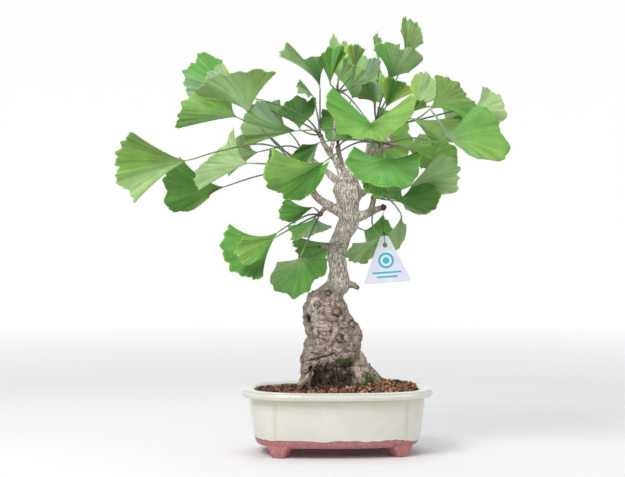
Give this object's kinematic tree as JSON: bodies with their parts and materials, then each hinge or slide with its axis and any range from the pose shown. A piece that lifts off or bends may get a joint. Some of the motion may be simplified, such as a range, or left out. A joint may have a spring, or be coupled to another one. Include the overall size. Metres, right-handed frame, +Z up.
{
  "type": "ginkgo bonsai",
  "caption": "Small ginkgo tree with a gnarled trunk and long-stalked fan leaves, planted in a glazed oval pot on low feet, with a plant tag on a thread.",
  "frame": {"origin": "on the table, under the middle of the whole tree's bounding box", "axes": "+Z up, +X along the pot to the right as seen from the front, +Y from the front of the pot to its back"},
  "size_m": [0.3876, 0.2081, 0.4323],
  "materials": {
    "glaze": "cream glaze over red clay, with a bare clay band and feet",
    "soil": "loose baked clay granules",
    "bark": "rough furrowed bark",
    "leaf": "thin matt leaf with fine radiating veins",
    "screen": "moulded mesh",
    "tag": "thin white sheet with a plain turquoise print",
    "thread": "dark twisted thread"
  },
  "bodies": {
    "root": {"pot": "glaze", "soil": "soil", "trunk": "bark", "drain_screen_left": "screen", "drain_screen_right": "screen", "spray_back": "leaf", "spray_back_left": "leaf", "spray_back_right": "leaf", "spray_front": "leaf", "spray_high_right": "leaf", "spray_leader": "leaf", "spray_left": "leaf", "spray_low_back": "leaf", "spray_low_left": "leaf", "spray_low_right": "leaf", "spray_right_twig": "leaf", "spray_top": "leaf", "tag": "tag", "tag_thread": "thread", "tag_tie": "thread", "tag_knot": "thread"}
  },
  "joints": []
}
